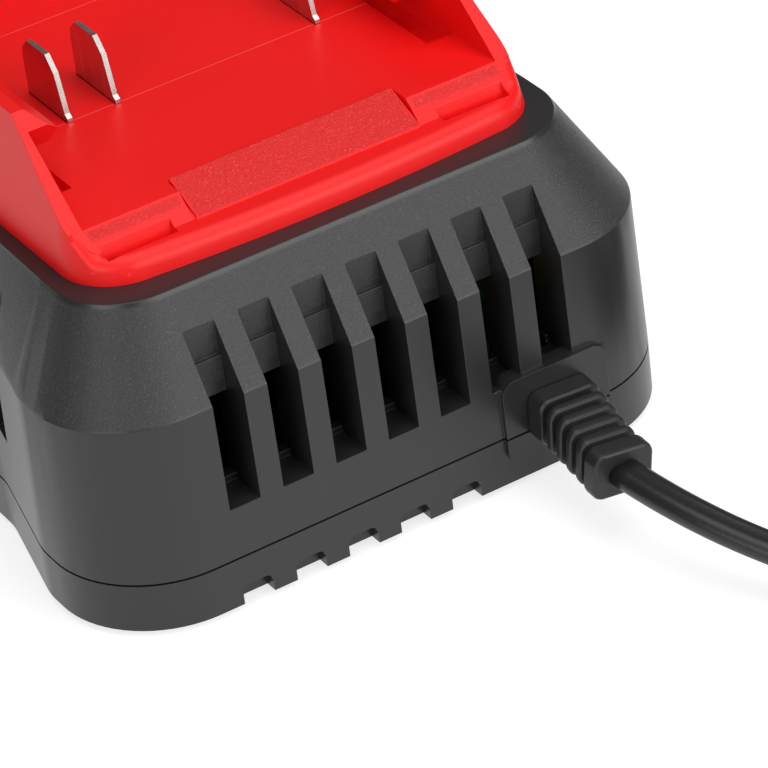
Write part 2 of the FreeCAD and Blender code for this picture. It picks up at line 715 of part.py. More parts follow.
def make_power_stage(prefix, device, x, along, fins):
    """A finned heat sink with a power device clamped flat on its plain side."""
    count = 5
    pitch = fins / count
    outline = [(0, 0), (0, 2.6)]
    for index in range(count):
        start = 1 + index * pitch
        outline += [(start, 2.6), (start, 9), (start + 1.2, 9), (start + 1.2, 2.6)]
    outline += [(fins + 1, 2.6), (fins + 1, 0)]
    outline.reverse()
    outline_body(prefix + "_heat_sink", "XY_Plane", outline, [], "25",
                 (str(x), FRONT + " + %g" % along, BOARD_TOP))
    middle = x + fins / 2
    tab = block(device + "_tab", ("%g" % (middle - 5), FRONT + " + %g" % (along - 1.3), BOARD_TOP + " + 4"),
                ("10", "1.3", "15.5"))
    body = block(device + "_body", ("%g" % (middle - 5), FRONT + " + %g" % (along - 4.5), BOARD_TOP + " + 4"),
                 ("10", "3.4", "9"))
    legs = [block("%s_leg_%d" % (device, n), ("%g" % (middle - 2.94 + 2.54 * n), FRONT + " + %g" % (along - 2.6),
                                              BOARD_TOP), ("0.8", "0.6", "5")) for n in range(3)]
    keep(join(device, [tab, body] + legs), device)


def make_choke():
    x, along, ring, core = 17.0, 55.0, 7.5, 2.2
    wind = core + 1.3
    centre = Vector(x, front + along, board_top + wind)
    torus = Part.makeTorus(ring, core, centre, Vector(0, 0, 1))
    made("input_choke_core", torus)
    sleeves = []
    for start in (20.0, 200.0):
        sleeve = Part.makeTorus(ring, wind, Vector(), Vector(0, 0, 1), 0, 360, 140)
        sleeve = sleeve.cut(Part.makeTorus(ring, core + 0.05, Vector(), Vector(0, 0, 1), 0, 360, 360))
        sleeve.rotate(Vector(), Vector(0, 0, 1), start)
        sleeve.translate(centre)
        sleeves.append(sleeve)
    made("input_choke_winding", Part.makeCompound(sleeves))


def make_fuse():
    along, x0, z = 27.0, -22.0, board_top + 4.0
    tube = Part.makeCylinder(2.5, 20.0, Vector(x0, front + along, z), Vector(1, 0, 0))
    made("fuse_tube", tube)
    clips = []
    for place in (x0 + 0.5, x0 + 15.5):
        clip = cuboid(place, place + 4, front + along - 3.2, front + along + 3.2, board_top, z + 1.2)
        clip = clip.cut(Part.makeCylinder(2.55, 30.0, Vector(x0 - 5, front + along, z), Vector(1, 0, 0)))
        clips.append(clip)
    made("fuse_clips", Part.makeCompound(clips))


def make_lights():
    for label, x in zip(("red", "green"), light_places()):
        place = (str(x), FRONT + " + %g" % light_along, BOARD_TOP)
        flange = rod("led_%s_flange" % label, place, "2", "1")
        stem = rod("led_%s_stem" % label, place, "1.5", "3.6")
        keep(join("status_led_" + label, [flange, stem]), "status_led_" + label)
        start = board_top + 4.0
        pipe = cylinder(x, front + light_along, start, ledge + 0.4, 2.1)
        collar = cylinder(x, front + light_along, deck_under - 1.5, deck_under, 3.2)
        rim = pipe.makeFillet(0.5, [edge for edge in pipe.Edges if edge.BoundBox.ZMin > ledge])
        made("light_pipe_" + label, one_solid(rim.fuse(collar)))


def route_wire(points, label=""):
    """Straight runs joined by tangent arcs, each arc as large as its two runs allow."""
    edges = []
    radii = []
    start = points[0]
    for index in range(1, len(points) - 1):
        corner = points[index]
        before = corner - points[index - 1]
        after = points[index + 1] - corner
        turn = before.getAngle(after)
        shorter = min(before.Length, after.Length)
        radius = 0.45 * shorter / math.tan(turn / 2)
        reach = 0.45 * shorter
        inward = Vector(after).normalize() - Vector(before).normalize()
        middle = corner + inward.normalize() * (radius / math.cos(turn / 2) - radius)
        near = corner - Vector(before).normalize() * reach
        far = corner + Vector(after).normalize() * reach
        edges.append(Part.LineSegment(start, near).toShape())
        edges.append(Part.Arc(near, middle, far).toShape())
        radii.append(round(radius, 1))
        start = far
    edges.append(Part.LineSegment(start, points[-1]).toShape())
    wire = Part.Wire(edges)
    if label:
        print(label, "length", round(wire.Length, 1), "radii", radii)
    return wire


def round_tube(points, radius):
    wire = route_wire(points)
    way = points[1] - points[0]
    ring = Part.Wire(Part.Circle(points[0], way, radius).toShape())
    return wire.makePipeShell([ring], True, False)


def make_leads():
    low = base + size("blade_tail_low")
    y = front + size("blade_front") + size("blade_long") / 2
    routes = [("lead_outer_left", -size("blade_outer"), (-30.0, 57.0)),
              ("lead_inner_left", -size("blade_inner"), (-19.0, 57.0)),
              ("lead_right", size("blade_outer"), (31.0, 57.0))]
    for label, x, (foot_x, along) in routes:
        points = [Vector(x, y, low), Vector(x, y, low - 9), Vector(foot_x, front + along, board_top + 10),
                  Vector(foot_x, front + along, board_top)]
        made(label, round_tube(points, 0.9))
    start_y = front + 6.8
    for label, side in (("mains_lead_live", -1), ("mains_lead_neutral", 1)):
        x = relief_x + side * 1.35
        foot = start_y + 18.5
        points = [Vector(x, start_y, relief_z), Vector(x, start_y + 7, relief_z + 0.8),
                  Vector(x + side * 1.2, start_y + 14.5, relief_z + 5.0),
                  Vector(x + side * 1.5, foot, relief_z + 4.5), Vector(x + side * 1.5, foot, board_top)]
        made(label, round_tube(points, 1.1))


coil_centre = Vector(size("coil_across"), front + size("coil_along"), 0)
coil_low = size("coil_lift") + size("cord_thick") / 2


def coil_point(turn):
    """The coil's centreline after so many radians: a spiral in, a climb of one layer, and a spiral out."""
    total = size("coil_turns") * 2 * math.pi
    middle = total / 2
    pitch = size("coil_pitch") / (2 * math.pi)
    inner = size("coil_middle") - pitch * middle / 2
    radius = inner + pitch * abs(turn - middle)
    if abs(turn - middle) < math.pi:
        radius -= size("coil_tuck") * math.cos((turn - middle) / 2) ** 2
    climb = min(max((turn - middle) / math.pi + 0.5, 0), 1)
    height = coil_low + size("coil_layer") * (3 - 2 * climb) * climb * climb
    angle = turn - math.pi / 2
    return coil_centre + Vector(radius * math.cos(angle), radius * math.sin(angle), height)


def coil_way(turn):
    small = 1e-4
    return (coil_point(turn + small) - coil_point(turn - small)).normalize()


def tangent_arc(start, way, end):
    """The arc that leaves a point along a direction and ends at another point."""
    chord = end - start
    bend = way.getAngle(chord)
    if bend < 1e-5:
        return Part.LineSegment(start, end).toShape()
    reach = chord.Length / 2 / math.cos(bend)
    corner = start + way * reach
    middle = (start + end) * 0.5
    mid = middle + (corner - middle) * (math.tan(bend / 2) / math.tan(bend))
    return Part.Arc(start, mid, end).toShape()


def biarc(start, way, end, end_way):
    """Two arcs that meet smoothly between two points with given directions."""
    chord = end - start
    both = way + end_way
    spread = 2 * (1 - way.dot(end_way))
    if spread < 1e-9:
        reach = chord.Length / 4
    else:
        reach = (-chord.dot(both) + math.sqrt(chord.dot(both) ** 2 + spread * chord.Length ** 2)) / spread
    join_point = (start + way * reach + end - end_way * reach) * 0.5
    second = tangent_arc(end, end_way * -1, join_point)
    return [tangent_arc(start, way, join_point), second]


def coil_ends():
    total = size("coil_turns") * 2 * math.pi
    straight = size("cord_wide")
    first = coil_point(0) - coil_way(0) * straight
    last = coil_point(total) + coil_way(total) * straight
    return first, coil_way(0), last, coil_way(total)


def cord_section(centre, way):
    """The flat cord's section: two cores side by side, so its sides are half circles."""
    right = way.cross(Vector(0, 0, 1)).normalize()
    up = right.cross(way).normalize()
    flat = (size("cord_wide") - size("cord_thick")) / 2
    radius = size("cord_thick") / 2
    a, b = centre + right * flat, centre - right * flat
    edges = [Part.LineSegment(b + up * radius, a + up * radius), Part.Arc(a + up * radius, a + right * radius, a - up * radius),
             Part.LineSegment(a - up * radius, b - up * radius), Part.Arc(b - up * radius, b - right * radius, b + up * radius)]
    return Part.Wire([edge.toShape() for edge in edges])


def flat_cord(wire, start, way, label):
    solid = wire.makePipeShell([cord_section(start, way)], True, False)
    radius = size("cord_thick") / 2
    area = math.pi * radius ** 2 + (size("cord_wide") - size("cord_thick")) * size("cord_thick")
    print(label, "volume over section times length", round(solid.Volume / (area * wire.Length), 4))
    return solid


def coil_gap():
    """The least gap between turns, on points along the centreline, less the cord's own section."""
    total = size("coil_turns") * 2 * math.pi
    steps = int(total / 0.1)
    points = [coil_point(total * index / steps) for index in range(steps + 1)]
    least = 1e9
    for index, point in enumerate(points):
        for other in points[index + 40:]:
            across = math.hypot(point.x - other.x, point.y - other.y) - size("cord_wide")
            up = abs(point.z - other.z) - size("cord_thick")
            least = min(least, max(across, up))
    return least


PLUG_PLACE = Vector(128.4, -2.4, 0)
PLUG_TURN = 110.0


def make_cord():
    first, first_way, last, last_way = coil_ends()
    exit_point = Vector(relief_x, front - size("relief_out"), relief_z)
    lead_in = [exit_point, exit_point + Vector(0.5, -12.5, -0.3), exit_point + Vector(4.1, -29.0, -2.9),
               exit_point + Vector(13.5, -43.5, -6.2), exit_point + Vector(30.0, -52.3, -8.4),
               first - first_way * 17.0, first]
    wire = route_wire(lead_in, "mains_cord")
    made("mains_cord", flat_cord(wire, lead_in[0], lead_in[1] - lead_in[0], "mains_cord"))
    total = size("coil_turns") * 2 * math.pi
    quarters = int(round(size("coil_turns") * 4))
    edges = [Part.LineSegment(first, coil_point(0)).toShape()]
    for index in range(quarters):
        a, b = total * index / quarters, total * (index + 1) / quarters
        edges += biarc(coil_point(a), coil_way(a), coil_point(b), coil_way(b))
    edges.append(Part.LineSegment(coil_point(total), last).toShape())
    coil_wire = Part.Wire(Part.__sortEdges__(edges))
    made("cord_coil", flat_cord(coil_wire, first, first_way, "cord_coil"))
    print("cord_coil length", round(coil_wire.Length, 1), "least gap", round(coil_gap(), 2))
    angle = math.radians(PLUG_TURN)
    heading = Vector(math.cos(angle), math.sin(angle), 0)
    entry = Vector(PLUG_PLACE.x, front + PLUG_PLACE.y, size("plug_thick") / 2)
    tail = [last, entry - heading * 13.0 + Vector(0, 0, -1.4), entry]
    tail_wire = route_wire(tail, "cord_tail")
    made("cord_tail", flat_cord(tail_wire, last, tail[1] - tail[0], "cord_tail"))


def make_tie():
    """A hook and loop band round the coil's turns."""
    pitch = size("coil_pitch")
    span = pitch * size("coil_turns") / 2
    low_radius = size("coil_middle") - span / 2 - size("cord_wide") / 2 - 0.6
    high_radius = size("coil_middle") + span / 2 + size("cord_wide") / 2 + 0.6
    height = size("coil_lift") + size("cord_thick") + size("coil_layer") + 1.0
    thick = 0.7
    wide = high_radius - low_radius
    centre = Vector((low_radius + high_radius) / 2, -4, height / 2)
    outer = rounded_rectangle(wide + 2 * thick, height, 1.6, centre, Vector(1, 0, 0), Vector(0, 0, 1))
    inner = rounded_rectangle(wide, height - 2 * thick, 0.9, centre, Vector(1, 0, 0), Vector(0, 0, 1))
    band = Part.Face(outer).extrude(Vector(0, 8, 0)).cut(Part.Face(inner).extrude(Vector(0, 8, 0)))
    band.rotate(Vector(), Vector(0, 0, 1), -45)
    band.translate(coil_centre)
    made("cord_tie", one_solid(band))


def make_plug():
    thick = size("plug_thick")
    wide = size("plug_wide") / 2
    long = size("plug_long")
    outline = [(0, -5.2), (9.0, -6.4), (22.0, -wide), (long - 5, -wide), (long, -wide + 4)]
    outline += [(x, -y) for x, y in reversed(outline)]
    wire = rounded_wire([Vector(x, y, 0) for x, y in outline], [1.5, 6, 5, 3, 1.5, 1.5, 3, 5, 6, 1.5])
    body = Part.Face(wire).extrude(Vector(0, 0, thick))
    rims = [edge for edge in body.Edges if edge.BoundBox.ZLength < 0.01]
    body = body.makeFillet(1.6, rims)
    spacing = size("pin_spacing") / 2
    sockets = [Part.makeCylinder(size("pin_root") + 0.05, 12, Vector(long - 10, y, thick / 2), Vector(1, 0, 0))
               for y in (-spacing, spacing)]
    body = one_solid(body.cut(fuse_all(sockets)))
    shapes = [("plug_body", body)]
    for label, y in (("plug_pin_left", spacing), ("plug_pin_right", -spacing)):
        root = Part.makeCylinder(size("pin_root"), 10.4, Vector(long - 9.9, y, thick / 2), Vector(1, 0, 0))
        pin = Part.makeCylinder(size("pin_radius"), size("pin_long") - size("pin_gap"),
                                Vector(long + size("pin_gap"), y, thick / 2), Vector(1, 0, 0))
        tips = [edge for edge in pin.Edges if edge.BoundBox.XMin > long + size("pin_long") - 0.1]
        shapes.append((label, one_solid(pin.makeFillet(1.2, tips).fuse(root))))
    for label, shape in shapes:
        shape.rotate(Vector(), Vector(0, 0, 1), PLUG_TURN)
        shape.translate(Vector(PLUG_PLACE.x, front + PLUG_PLACE.y, 0))
        made(label, shape)


def make_screws():
    boss_seat = base + 6.0
    sets = [("housing_screws", [screw(x, y, boss_seat, 19, 1.2, 2.8, 2.4) for x, y in post_places()]),
            ("cradle_screws", [screw(x, y, deck_under, size("wall") + 4.5, 1.2, 2.7, 1.8)
                               for x, y in cradle_screw_places()]),
            ("board_screws", [screw(x, y, board_top, 7.0, 1.2, 2.7, 1.8, False) for x, y in standoff_places()]),
            ("terminal_screws", [screw(x, y, base + size("block_low"),
                                       floor_under - base - size("block_low") + 1.4, 0.95, 2.0, 1.4)
                                 for x, y in block_screw_places()])]
    for label, shapes in sets:
        made(label, Part.makeCompound(shapes))


def make_feet():
    names = ["foot_front_left", "foot_front_right", "foot_back_left", "foot_back_right"]
    for label, (x, y) in zip(names, foot_places()):
        place = ("%g * foot_across" % (1 if x > 0 else -1),
                 FRONT + (" + foot_inset" if y < 0 else " + body_length - foot_inset"), "0")
        keep(rod(label, place, "foot_radius", "foot_proud + foot_recess"), label)


made("bottom_tray", make_bottom_tray())
made("upper_housing", make_upper_housing())
made("battery_cradle", make_cradle())
made("strain_relief", make_strain_relief())
make_terminal_block()
make_blade("blade_outer_left", -size("blade_outer"))
make_blade("blade_inner_left", -size("blade_inner"))
make_blade("blade_right", size("blade_outer"))
make_board_and_sheet()
make_transformer()
make_cans()
make_packages()
make_power_stage("primary", "switching_transistor", -34.0, 68.0, 18.0)
make_power_stage("secondary", "output_rectifier", 17.0, 88.0, 16.0)
make_choke()
make_fuse()
make_lights()
make_leads()
make_screws()
make_feet()
make_cord()
make_tie()
make_plug()
doc.recompute()

for item in doc.Objects:
    if "Invalid" in item.State or "Error" in item.State:
        raise RuntimeError("failed: " + item.Name)
total = FreeCAD.BoundBox()
for item in kept:
    shape = item.Shape
    if shape.isNull() or not shape.isValid() or not shape.Solids:
        raise RuntimeError("bad shape: " + item.Label)
    shape.exportStep("parts/%s.step" % item.Label)
    total.add(shape.BoundBox)
    print(item.Label, len(shape.Solids), round(shape.Volume), [round(v, 1) for v in (
        shape.BoundBox.XMin, shape.BoundBox.XMax, shape.BoundBox.YMin, shape.BoundBox.YMax,
        shape.BoundBox.ZMin, shape.BoundBox.ZMax)])
print("pieces", len(kept))
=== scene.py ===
import json
import math

import bmesh
import bpy
from mathutils import Matrix, Vector


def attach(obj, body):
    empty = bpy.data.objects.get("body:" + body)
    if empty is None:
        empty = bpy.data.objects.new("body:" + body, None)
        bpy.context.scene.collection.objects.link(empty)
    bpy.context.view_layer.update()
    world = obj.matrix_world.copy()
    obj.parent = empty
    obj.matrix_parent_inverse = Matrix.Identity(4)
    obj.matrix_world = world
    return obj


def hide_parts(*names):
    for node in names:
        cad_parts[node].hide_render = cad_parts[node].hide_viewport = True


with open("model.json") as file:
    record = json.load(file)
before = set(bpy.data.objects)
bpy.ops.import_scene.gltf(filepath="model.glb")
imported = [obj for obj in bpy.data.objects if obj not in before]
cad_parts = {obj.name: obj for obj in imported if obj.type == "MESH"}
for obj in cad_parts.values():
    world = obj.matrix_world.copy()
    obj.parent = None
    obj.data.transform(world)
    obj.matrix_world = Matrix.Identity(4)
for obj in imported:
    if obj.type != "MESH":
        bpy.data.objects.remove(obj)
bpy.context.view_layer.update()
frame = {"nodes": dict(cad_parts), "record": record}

MM = 0.001

# Camera, fitted to the photograph: place in millimetres, angles in degrees.
CAMERA_PLACE = Vector((-262.0, -549.6, 387.4))
CAMERA_TURN = -28.07
CAMERA_DOWN = 33.14
CAMERA_ROLL = -7.45
FOCAL_PIXELS = 4586.6
PICTURE_PIXELS = 768.0
SENSOR_WIDTH = 36.0

# Casing and cradle, in millimetres and degrees.
FRONT = -62.75
HOUSING_ROUND = 0.25
TRAY_ROUND = 0.3
EDGE_ROUND = 0.45
RIM_ROUND = 2.3
RAIL_ROUND = 1.1
RIM_LOW = 53.0
RIM_HIGH = 56.5
LIP_TOP = 53.6
LIP_BLEND = 3.0
CUTTER_OVER = 1.5
CUTTER_CORNER = 2.0
CUTTER_STEPS = 8
RIM_SIDE = 35.4
RIM_FRONT = FRONT + 16.5
RIM_CORNER = FRONT + 19.1
SLOT_MIDDLE = FRONT + 56.7
SLOT_REACH = 9.0
SLOT_SIDE = 26.0
SLOT_TOP = 56.6
LEFT_SHARP_BELOW = 50.5
CORNER_FROM = 24
CASING_CORNER_FROM = 30
RIM_CORNER_FROM = 40
SMOOTH_BELOW = 32

# Strain relief, in millimetres and degrees.
PLATE_OUT = 0.7
RELIEF_ROOT = Vector((25.7, FRONT - PLATE_OUT, 11.5))
RELIEF_TIP = Vector((23.85, -83.25, 10.4))
RELIEF_LONG = 19.8
RELIEF_ROLL = 8.0
ROOT_ROLL_SHARE = 0.35
RIB_COUNT = 4
RIB_PITCH = 2.9

# Cord, in millimetres, but for the heading in degrees.
CORD_WIDE = 5.4
CORD_THICK = 3.4
GROOVE_DEEP = 0.14
COIL_MIDDLE = Vector((93.0, FRONT - 33.0, 0))
COIL_RADIUS = 28.8
COIL_TURNS = 7.25
COIL_PITCH = 6.1
COIL_TUCK = 3.2
COIL_CLIMB = 4.2
COIL_LIFT = 0.8
COIL_POINTS = 16
LEAD_STEPS = ((0, 0, 0), (0.75, -10.5, -0.1), (6.65, -25.5, -2.8), (15.95, -41.0, -5.4), (31.85, -52.3, -7.3))
LEAD_RUN_IN = 17.0
PLUG_ENTRY = Vector((128.4, FRONT - 2.4, 6.85))
PLUG_HEADING = 110.0
PLUG_RUN_IN = 13.0
PLUG_RUN_LOW = 1.4


def make_camera():
    data = bpy.data.cameras.new("camera")
    data.sensor_width = SENSOR_WIDTH
    data.lens = SENSOR_WIDTH * FOCAL_PIXELS / PICTURE_PIXELS
    data.clip_start = 0.05
    data.clip_end = 20.0
    camera = bpy.data.objects.new("camera", data)
    bpy.context.scene.collection.objects.link(camera)
    place = Matrix.Translation(CAMERA_PLACE * MM)
    turn = Matrix.Rotation(math.radians(CAMERA_TURN), 4, "Z")
    tilt = Matrix.Rotation(math.radians(90.0 - CAMERA_DOWN), 4, "X")
    roll = Matrix.Rotation(math.radians(CAMERA_ROLL), 4, "Z")
    camera.matrix_world = place @ turn @ tilt @ roll
    bpy.context.scene.camera = camera


make_camera()


# Materials

def new_material(name):
    material = bpy.data.materials.new(name)
    material.use_nodes = True
    tree = material.node_tree
    return material, tree, tree.nodes["Principled BSDF"]


def put(tree, kind, **values):
    """Adds a node and sets its properties and input values by name."""
    node = tree.nodes.new(kind)
    for key, value in values.items():
        label = key.replace("_", " ")
        if hasattr(node, key):
            setattr(node, key, value)
        else:
            socket = [s for s in node.inputs if s.name.lower() == label.lower()][0]
            socket.default_value = value
    return node


def wire(tree, source, output, target, entry):
    tree.links.new(source.outputs[output], target.inputs[entry])


def object_place(tree):
    return put(tree, "ShaderNodeTexCoord")


def grain_group():
    """Fine moulded grain: speckle for colour, roughness and height from object coordinates."""
    group = bpy.data.node_groups.new("moulded_grain", "ShaderNodeTree")
    face = group.interface
    face.new_socket("Place", in_out="INPUT", socket_type="NodeSocketVector")
    face.new_socket("Grains per metre", in_out="INPUT", socket_type="NodeSocketFloat")
    face.new_socket("Height", in_out="OUTPUT", socket_type="NodeSocketFloat")
    face.new_socket("Speckle", in_out="OUTPUT", socket_type="NodeSocketFloat")
    face.new_socket("Cloud", in_out="OUTPUT", socket_type="NodeSocketFloat")
    start = group.nodes.new("NodeGroupInput")
    end = group.nodes.new("NodeGroupOutput")
    noise = put(group, "ShaderNodeTexNoise", Detail=3.0, Roughness=0.7)
    cells = put(group, "ShaderNodeTexVoronoi")
    cloud = put(group, "ShaderNodeTexNoise", Scale=45.0, Detail=2.0)
    half = put(group, "ShaderNodeMath", operation="MULTIPLY")
    half.inputs[1].default_value = 0.8
    both = put(group, "ShaderNodeMath", operation="MULTIPLY_ADD")
    both.inputs[1].default_value = -0.6
    speckle = put(group, "ShaderNodeMapRange")
    speckle.inputs["From Min"].default_value = 0.56
    speckle.inputs["From Max"].default_value = 0.74
    for node in (noise, cells, cloud):
        group.links.new(start.outputs["Place"], node.inputs["Vector"])
    group.links.new(start.outputs["Grains per metre"], noise.inputs["Scale"])
    group.links.new(start.outputs["Grains per metre"], half.inputs[0])
    group.links.new(half.outputs[0], cells.inputs["Scale"])
    group.links.new(cells.outputs["Distance"], both.inputs[0])
    group.links.new(noise.outputs["Fac"], both.inputs[2])
    group.links.new(noise.outputs["Fac"], speckle.inputs["Value"])
    group.links.new(both.outputs[0], end.inputs["Height"])
    group.links.new(speckle.outputs["Result"], end.inputs["Speckle"])
    group.links.new(cloud.outputs["Fac"], end.inputs["Cloud"])
    return group


GRAIN = grain_group()


def grain(tree, place, per_metre):
    node = tree.nodes.new("ShaderNodeGroup")
    node.node_tree = GRAIN
    tree.links.new(place.outputs["Object"], node.inputs["Place"])
    node.inputs["Grains per metre"].default_value = per_metre
    return node


def moulded(name, colour, roughness, per_metre, bump, speckle=0.0, cloud=0.12):
    """A moulded plastic or rubber: its colour drifts a little, its grain catches the light."""
    material, tree, shader = new_material(name)
    place = object_place(tree)
    texture = grain(tree, place, per_metre)
    light = [min(1.0, c * (1 + speckle) + speckle * 0.02) for c in colour]
    mix = put(tree, "ShaderNodeMix", data_type="RGBA")
    mix.inputs["A"].default_value = (*colour, 1)
    mix.inputs["B"].default_value = (*light, 1)
    wire(tree, texture, "Speckle", mix, "Factor")
    drift = put(tree, "ShaderNodeHueSaturation")
    scale = put(tree, "ShaderNodeMapRange")
    scale.inputs["To Min"].default_value = 1 - cloud
    scale.inputs["To Max"].default_value = 1 + cloud
    wire(tree, texture, "Cloud", scale, "Value")
    wire(tree, scale, "Result", drift, "Value")
    tree.links.new(mix.outputs["Result"], drift.inputs["Color"])
    wire(tree, drift, "Color", shader, "Base Color")
    rough = put(tree, "ShaderNodeMapRange")
    rough.inputs["To Min"].default_value = roughness - 0.05
    rough.inputs["To Max"].default_value = roughness + 0.07
    wire(tree, texture, "Cloud", rough, "Value")
    wire(tree, rough, "Result", shader, "Roughness")
    relief = put(tree, "ShaderNodeBump", Strength=bump, Distance=0.0002)
    wire(tree, texture, "Height", relief, "Height")
    wire(tree, relief, "Normal", shader, "Normal")
    return material


def metal(name, colour, roughness, brushed=(900.0, 900.0, 60.0), bump=0.08):
    """Bare or plated metal with faint drawn streaks."""
    material, tree, shader = new_material(name)
    shader.inputs["Metallic"].default_value = 1.0
    place = object_place(tree)
    stretch = put(tree, "ShaderNodeMapping")
    stretch.inputs["Scale"].default_value = brushed
    wire(tree, place, "Object", stretch, "Vector")
    streaks = put(tree, "ShaderNodeTexNoise", Scale=1.0, Detail=4.0)
    wire(tree, stretch, "Vector", streaks, "Vector")
    ramp = put(tree, "ShaderNodeMix", data_type="RGBA")
    ramp.inputs["A"].default_value = (*[c * 0.8 for c in colour], 1)
    ramp.inputs["B"].default_value = (*[min(1, c * 1.15) for c in colour], 1)
    wire(tree, streaks, "Fac", ramp, "Factor")
    tree.links.new(ramp.outputs["Result"], shader.inputs["Base Color"])
    rough = put(tree, "ShaderNodeMapRange")
    rough.inputs["To Min"].default_value = roughness * 0.7
    rough.inputs["To Max"].default_value = roughness * 1.4
    wire(tree, streaks, "Fac", rough, "Value")
    wire(tree, rough, "Result", shader, "Roughness")
    relief = put(tree, "ShaderNodeBump", Strength=bump, Distance=0.0001)
    wire(tree, streaks, "Fac", relief, "Height")
    wire(tree, relief, "Normal", shader, "Normal")
    return material


def combine(tree, operation, first, second):
    node = put(tree, "ShaderNodeMath", operation=operation)
    tree.links.new(first, node.inputs[0])
    tree.links.new(second, node.inputs[1])
    return node.outputs[0]


def band(tree, source, low, high, soft, soft_top=None):
    """One inside a range of a coordinate, nought outside it, with soft ends; all in millimetres."""
    soft_top = soft if soft_top is None else soft_top
    rise = put(tree, "ShaderNodeMapRange")
    fall = put(tree, "ShaderNodeMapRange")
    for ramp, start, end in ((rise, low - soft, low + soft), (fall, high + soft_top, high - soft_top)):
        ramp.inputs["From Min"].default_value = start * MM
        ramp.inputs["From Max"].default_value = end * MM
        tree.links.new(source, ramp.inputs["Value"])
    return combine(tree, "MULTIPLY", rise.outputs["Result"], fall.outputs["Result"])


def colour_mix(tree, factor, first=None, second=None):
    """A colour between two; either can be wired up later."""
    node = put(tree, "ShaderNodeMix", data_type="RGBA")
    tree.links.new(factor, node.inputs["Factor"])
    for entry, value in (("A", first), ("B", second)):
        if isinstance(value, tuple):
            node.inputs[entry].default_value = (*value, 1)
        elif value is not None:
            tree.links.new(value, node.inputs[entry])
    return node.outputs["Result"]


def rough_by(tree, shader, mask, low, high):
    """Roughness that goes from one value to another with a mask."""
    rough = put(tree, "ShaderNodeMapRange")
    rough.inputs["To Min"].default_value = low
    rough.inputs["To Max"].default_value = high
    tree.links.new(mask, rough.inputs["Value"])
    wire(tree, rough, "Result", shader, "Roughness")


def grain_height(tree, shader, mask, smooth, faintness, rough, strength, distance):
    """Bump from a faint grain, and from a full one where the mask is one."""
    faint = put(tree, "ShaderNodeMath", operation="MULTIPLY")
    faint.inputs[1].default_value = faintness
    wire(tree, smooth, "Height", faint, "Value")
    blend = put(tree, "ShaderNodeMix", data_type="FLOAT")
    tree.links.new(mask, blend.inputs["Factor"])
    tree.links.new(faint.outputs[0], blend.inputs["A"])
    tree.links.new(rough.outputs["Height"], blend.inputs["B"])
    relief = put(tree, "ShaderNodeBump", Strength=strength, Distance=distance)
    tree.links.new(blend.outputs["Result"], relief.inputs["Height"])
    wire(tree, relief, "Normal", shader, "Normal")


def casing_material():
    """Black casing: smooth walls and ledge, sparkling grain on the sloping shoulder between them."""
    material, tree, shader = new_material("casing_plastic")
    place = object_place(tree)
    apart = put(tree, "ShaderNodeSeparateXYZ")
    wire(tree, place, "Object", apart, "Vector")
    shoulder = band(tree, apart.outputs["Z"], 35.1, 49.2, 0.3, 0.2)
    coarse = grain(tree, place, 4600.0)
    fine = grain(tree, place, 4200.0)
    spark = combine(tree, "MULTIPLY", shoulder, coarse.outputs["Speckle"])
    dark = colour_mix(tree, spark, (0.0185, 0.0175, 0.019), (0.095, 0.092, 0.095))
    tree.links.new(dark, shader.inputs["Base Color"])
    rough_by(tree, shader, shoulder, 0.31, 0.42)
    grain_height(tree, shader, shoulder, fine, 0.12, coarse, 0.4, 0.00015)
    return material


def cradle_masks(tree, place):
    """Where the cradle is granular, its pad and its ridge, and where its moulding lines run."""
    apart = put(tree, "ShaderNodeSeparateXYZ")
    wire(tree, place, "Object", apart, "Vector")
    across = put(tree, "ShaderNodeMath", operation="ABSOLUTE")
    wire(tree, apart, "X", across, 0)
    x, y, z = across.outputs[0], apart.outputs["Y"], apart.outputs["Z"]
    pad = combine(tree, "MULTIPLY", band(tree, x, -1.0, 18.7, 0.15),
                  band(tree, y, FRONT + 18.5, FRONT + 25.9, 0.15))
    ridge = combine(tree, "MULTIPLY", band(tree, x, 19.6, 34.8, 0.3),
                    band(tree, y, FRONT + 19.6, FRONT + 22.2, 0.2))
    ridge = combine(tree, "MULTIPLY", ridge, band(tree, z, 55.0, 70.0, 0.3))
    lines = combine(tree, "MAXIMUM", band(tree, y, FRONT + 50.85, FRONT + 51.0, 0.08),
                    band(tree, y, FRONT + 81.0, FRONT + 81.15, 0.08))
    lines = combine(tree, "MULTIPLY", lines, band(tree, z, 55.9, 57.0, 0.1))
    return combine(tree, "MAXIMUM", pad, ridge), lines


def cradle_material():
    """Saturated red moulding: satin all over, with a granular pad and ridge and faint moulding lines."""
    material, tree, shader = new_material("cradle_plastic")
    place = object_place(tree)
    fine = grain(tree, place, 1500.0)
    coarse = grain(tree, place, 3600.0)
    gritty, lines = cradle_masks(tree, place)
    smooth = colour_mix(tree, fine.outputs["Cloud"], (0.78, 0.0045, 0.0045), (0.84, 0.0065, 0.0065))
    grit = colour_mix(tree, coarse.outputs["Speckle"], (0.66, 0.014, 0.014), (0.86, 0.13, 0.13))
    colour = colour_mix(tree, gritty, smooth, grit)
    lined = colour_mix(tree, lines, colour, (0.85, 0.09, 0.09))
    tree.links.new(lined, shader.inputs["Base Color"])
    shader.inputs["Specular IOR Level"].default_value = 0.32
    rough_by(tree, shader, gritty, 0.40, 0.62)
    grain_height(tree, shader, gritty, fine, 0.10, coarse, 0.7, 0.00025)
    return material


